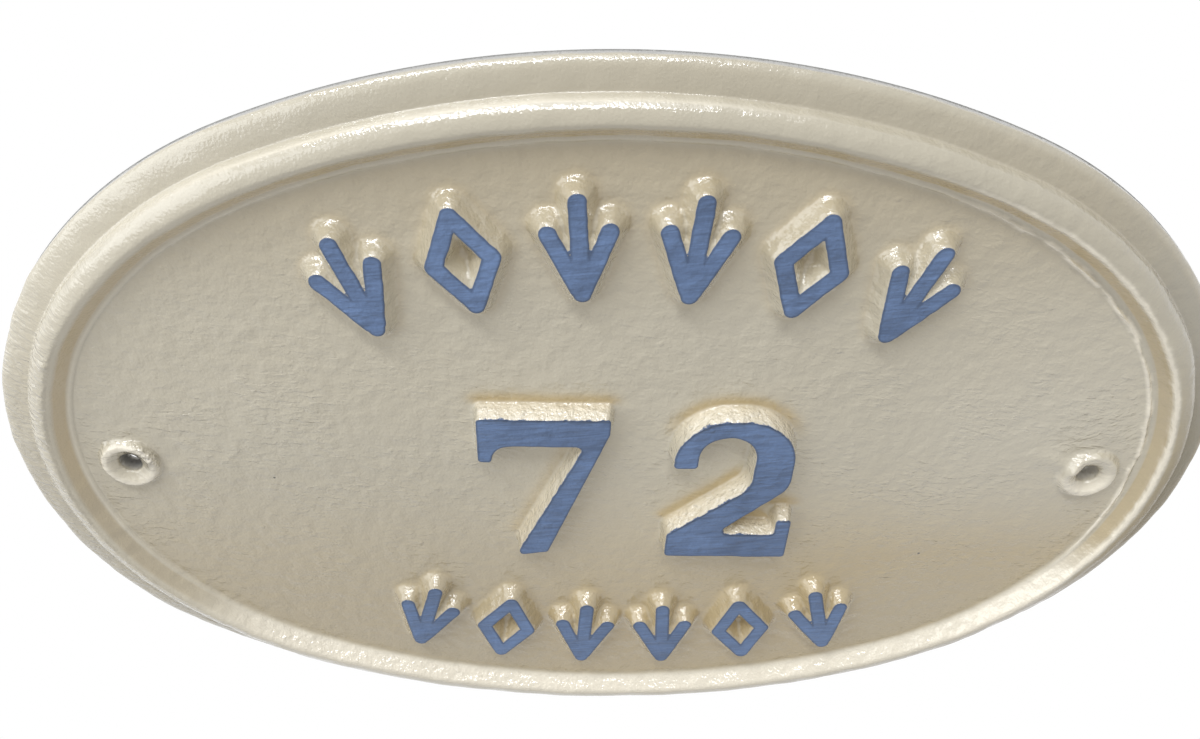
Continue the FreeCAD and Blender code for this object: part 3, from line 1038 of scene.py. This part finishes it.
def skin_group():
    """Skin of thick paint on a sand casting, with its heights in millimetres."""
    group, inp, out = new_group(
        "Cast skin", {"Smooth": 0.0, "Ripples": 0.0, "Hatching": 0.0, "Crust": 0.0, "Pinholes": 1.0},
        ("Height", "Tone", "Pit"))
    coords = node(group, "ShaderNodeTexCoord").outputs["Object"]
    rough = minus(group, 1.0, times(group, inp.outputs["Smooth"], 0.7))
    lumps = times(group, noise(group, coords, 300.0), 0.58, rough)
    peel = times(group, noise(group, coords, 1700.0, 1.0), 0.09)

    # short ripples that come in patches, with sharp upper edges
    dashes = stretched(group, coords, (0.003, 0.0035, 0.0013), 6, Detail=2.0, Distortion=0.5)
    there = ramp(group, noise(group, coords, 75.0, 2.0, 0.6), 0.35, 4.0)
    ripples = times(group, ramp(group, dashes, 0.44, 2.6), there, 0.30, inp.outputs["Ripples"])

    # hatching leans outward and down at both ends
    strokes = stretched(group, mirrored_ends(group, coords), (0.0032, 0.003, 0.0011), -32,
                        Detail=2.0, Distortion=0.4)
    hatching = times(group, strokes, 0.85, inp.outputs["Hatching"])
    crust = times(group, noise(group, coords, 560.0, 2.0, 0.55), 1.15, inp.outputs["Crust"])

    # a grain of sand in one cell of ten, a pinhole in one of five larger cells
    off, chance, _ = scattered(group, coords, 230.0)
    dome = minus(group, 1.0, times(group, off, 5.5), True)
    grains = times(group, dome, math_node(group, "GREATER_THAN", chance, 0.90), rough, 0.26)
    off, chance, size = scattered(group, coords, 62.0)
    dot = math_node(group, "LESS_THAN", off, plus(group, times(group, size, 0.018), 0.006))
    pits = times(group, dot, math_node(group, "GREATER_THAN", chance, 0.80), inp.outputs["Pinholes"])

    height = plus(group, lumps, peel, ripples, hatching, crust, grains)
    for value, socket in zip((height, noise(group, coords, 16.0, 4.0, 0.6), pits), out.inputs):
        feed(group, value, socket)
    return group


def brush_group():
    """Streaks of a small brush, mostly along X, and a ragged edge."""
    group, inp, out = new_group("Brushed paint", {"Streaks": 1.0}, ("Height", "Tone", "Rag"))
    coords = node(group, "ShaderNodeTexCoord").outputs["Object"]
    streaks = stretched(group, coords, (0.011, 0.01, 0.0009), -7,
                        Detail=3.0, Roughness=0.6, Distortion=1.0)
    strong = times(group, streaks, inp.outputs["Streaks"])
    patches = noise(group, coords, 55.0, 3.0, 0.6)
    tone = ramp(group, plus(group, strong, patches), 0.74, 2.0)
    for value, socket in zip((strong, tone, noise(group, coords, 420.0, 3.0, 0.6)), out.inputs):
        feed(group, value, socket)
    return group


def mix_colour(tree, factor, a, b):
    made = node(tree, "ShaderNodeMix", data_type="RGBA")
    for socket, value in ((0, factor), (6, a), (7, b)):
        feed(tree, value, made.inputs[socket])
    return made.outputs[2]


def tinted(colour, tint):
    return tuple(np.minimum(1.0, np.array(colour) * tint))


def new_material(name):
    material = bpy.data.materials.new(name)
    material.use_nodes = True
    return material, material.node_tree, material.node_tree.nodes["Principled BSDF"]


def enamel_material(colours, skin, brush):
    """Cream enamel with blue brushed on the raised faces and bare metal down the holes."""
    material, tree, shader = new_material("enamelled_casting")

    def share(name):
        return node(tree, "ShaderNodeAttribute", attribute_name=name).outputs["Fac"]

    bare, crust, matt = share("bare"), share("crust"), share("matt")
    cast = node(tree, "ShaderNodeGroup", node_tree=skin, Smooth=share("smooth"),
                Ripples=share("ripple"), Hatching=share("hatch"), Crust=crust)
    paint = node(tree, "ShaderNodeGroup", node_tree=brush)

    # the mask is 1 on the faces, and its edge wanders most where the flank is lumpy
    reach = plus(tree, times(tree, crust, 0.9), 0.15)
    wander = times(tree, minus(tree, paint.outputs["Rag"], 0.5), reach)
    off_face = plus(tree, share("face_edge"), wander)
    mask = minus(tree, 0.6, times(tree, off_face, 11.0), True)

    cream = tuple(colours.enamel)
    tone = mix_colour(tree, cast.outputs["Tone"], tinted(cream, WARM_TINT), tinted(cream, COOL_TINT))
    # painted warm shade, painted shade and painted light over the cream
    for fact, tint in (("warm_shade", WARM_SHADE_TINT), ("shade", SHADE_TINT), ("painted_light", PAINTED_LIGHT_TINT)):
        limited = math_node(tree, "MULTIPLY", share(fact), 1.0, True)
        tone = mix_colour(tree, limited, tone, tinted(cream, tint))
    tone = mix_colour(tree, cast.outputs["Pit"], tone, tinted(cream, PIT_TINT))
    # painted shade on the side wall, and the back's plain grey coat
    tone = mix_colour(tree, share("side_shade_back_coat"), tone, tuple(colours.side_shade_back_colour))
    blue = tuple(colours.paint)
    painted = mix_colour(tree, paint.outputs["Tone"], tinted(blue, PAINT_DARK_TINT),
                         tinted(blue, PAINT_LIGHT_TINT))
    # painted shade: the blue darkens towards the faces' rounded edges
    edge_shade = times(tree, ramp(tree, off_face, -0.6, 2.4), 0.75)
    painted = mix_colour(tree, edge_shade, painted, tinted(blue, PAINT_EDGE_SHADE_TINT))
    colour = mix_colour(tree, bare, mix_colour(tree, mask, tone, painted), tuple(colours.bare_metal))

    uncoated = math_node(tree, "MAXIMUM", mask, bare)
    dulled = math_node(tree, "MAXIMUM", uncoated, times(tree, matt, 0.92))
    rough = plus(tree, times(tree, cast.outputs["Tone"], 0.10), 0.20, times(tree, uncoated, 0.22),
                 times(tree, bare, 0.3))
    brushed = times(tree, paint.outputs["Height"], mask, 0.11)
    sunk = minus(tree, cast.outputs["Height"], times(tree, cast.outputs["Pit"], 0.2))
    bump = node(tree, "ShaderNodeBump", Strength=1.0, Distance=MM, Height=plus(tree, sunk, brushed))
    looks = {"Base Color": colour, "Normal": bump.outputs[0], "Coat Normal": bump.outputs[0],
             "Roughness": rough, "Coat Roughness": 0.05, "IOR": 1.5, "Coat IOR": 1.6,
             "Specular IOR Level": minus(tree, 0.5, times(tree, matt, 0.4)),
             "Coat Weight": minus(tree, 1.0, dulled)}
    for name, value in looks.items():
        feed(tree, value, shader.inputs[name])
    return material


# stage

def make_camera():
    """The camera that the photo was fitted with."""
    forward = math.cos(CAMERA_DOWN)
    ahead = Vector((math.sin(CAMERA_YAW) * forward, math.cos(CAMERA_YAW) * forward,
                    -math.sin(CAMERA_DOWN)))
    level = Vector((math.cos(CAMERA_YAW), -math.sin(CAMERA_YAW), 0))
    up = level.cross(ahead)
    right = level * math.cos(CAMERA_ROLL) + up * math.sin(CAMERA_ROLL)
    top = up * math.cos(CAMERA_ROLL) - level * math.sin(CAMERA_ROLL)
    data = bpy.data.cameras.new("camera")
    data.lens = CAMERA_LENS
    data.sensor_width = SENSOR_WIDTH
    data.clip_start = 0.01
    data.shift_x = (PHOTO_WIDTH / 2 - PHOTO_PRINCIPAL_X) / PHOTO_WIDTH
    data.shift_y = (PHOTO_PRINCIPAL_Y - PHOTO_HEIGHT / 2) / PHOTO_WIDTH
    camera = put_in_scene("camera", data)
    turned = Matrix((right, top, -ahead)).transposed().to_4x4()
    camera.matrix_world = Matrix.Translation(CAMERA_PLACE) @ turned
    bpy.context.scene.camera = camera


def make_lamp(name, place, size, power, colour):
    """A rectangular lamp that faces the plaque's middle."""
    data = bpy.data.lights.new(name, "AREA")
    data.shape = "RECTANGLE"
    data.size, data.size_y = size
    data.energy = power
    data.color = colour
    lamp = put_in_scene(name, data)
    lamp.location = place
    lamp.rotation_euler = (-Vector(place)).to_track_quat("-Z", "Y").to_euler()


def white_when_seen(tree, plain, white, output):
    """Shows white to the camera, straight or in a reflection, and the plain shader to all else."""
    path = node(tree, "ShaderNodeLightPath")
    seen = path.outputs["Is Camera Ray"]
    for kind in ("Is Transmission Ray", "Is Glossy Ray"):
        seen = math_node(tree, "MAXIMUM", seen, path.outputs[kind])
    mix = node(tree, "ShaderNodeMixShader")
    for value, socket in zip((seen, plain.outputs[0], white.outputs[0]), mix.inputs):
        feed(tree, value, socket)
    tree.links.new(mix.outputs[0], output.inputs[0])


def make_world():
    world = bpy.data.worlds.new("studio")
    world.use_nodes = True
    tree = world.node_tree
    plain = tree.nodes["Background"]
    plain.inputs[0].default_value = WORLD_COLOUR
    plain.inputs[1].default_value = WORLD_STRENGTH
    white = node(tree, "ShaderNodeBackground", Color=(1, 1, 1))
    white_when_seen(tree, plain, white, tree.nodes["World Output"])
    bpy.context.scene.world = world


def make_floor(colours):
    low, _ = CAD_BOX
    half = FLOOR_HALF
    mesh = bpy.data.meshes.new("floor")
    z = low.z - FLOOR_DROP
    corners = [(-half, -half, z), (half, -half, z), (half, half, z), (-half, half, z)]
    mesh.from_pydata(corners, [], [(0, 1, 2, 3)])
    material, tree, shader = new_material("pale_floor")
    shader.inputs["Base Color"].default_value = (*colours.stage, 1)
    shader.inputs["Roughness"].default_value = 0.8
    white = node(tree, "ShaderNodeEmission")
    white_when_seen(tree, shader, white, tree.nodes["Material Output"])
    mesh.materials.append(material)
    put_in_scene("floor", mesh)


class OBJECT_OT_plaque_casting(bpy.types.Operator):
    """Builds the enamelled casting with its rim, number, ornament and screw bosses"""
    bl_idname = "object.plaque_casting"
    bl_label = "Plaque casting"

    def execute(self, context):
        scene = context.scene
        piece = make_casting(scene.plaque_sizes)
        piece.data.materials.append(enamel_material(scene.plaque_colours, skin_group(), brush_group()))
        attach(piece, "root")
        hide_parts("plaque")
        return {"FINISHED"}


class OBJECT_OT_plaque_stage(bpy.types.Operator):
    """Builds the camera, the lamps, the world and the floor"""
    bl_idname = "object.plaque_stage"
    bl_label = "Stage"

    def execute(self, context):
        scene = context.scene
        scene.view_settings.view_transform = "Standard"
        make_camera()
        make_world()
        make_floor(scene.plaque_colours)
        for lamp in LAMPS:
            make_lamp(*lamp)
        return {"FINISHED"}


class VIEW3D_PT_plaque(bpy.types.Panel):
    """Lists the plaque's sizes and colours, and the buttons that build the stage and the casting"""
    bl_label = "Plaque"
    bl_idname = "VIEW3D_PT_plaque"
    bl_space_type = "VIEW_3D"
    bl_region_type = "UI"
    bl_category = "Plaque"

    def draw(self, context):
        layout = self.layout
        for group in (context.scene.plaque_sizes, context.scene.plaque_colours):
            for name in group.bl_rna.properties.keys():
                if name not in ("rna_type", "name"):
                    layout.prop(group, name)
        for operator in OPERATORS:
            layout.operator(operator.bl_idname)


OPERATORS = (OBJECT_OT_plaque_stage, OBJECT_OT_plaque_casting)
CLASSES = (PlaqueSizes, PlaqueColours, *OPERATORS, VIEW3D_PT_plaque)


def register():
    for cls in CLASSES:
        bpy.utils.register_class(cls)
    bpy.types.Scene.plaque_sizes = bpy.props.PointerProperty(type=PlaqueSizes)
    bpy.types.Scene.plaque_colours = bpy.props.PointerProperty(type=PlaqueColours)


def unregister():
    del bpy.types.Scene.plaque_colours
    del bpy.types.Scene.plaque_sizes
    for cls in reversed(CLASSES):
        bpy.utils.unregister_class(cls)


def main():
    register()
    bpy.ops.object.plaque_stage()
    bpy.ops.object.plaque_casting()


if __name__ == "__main__":
    main()
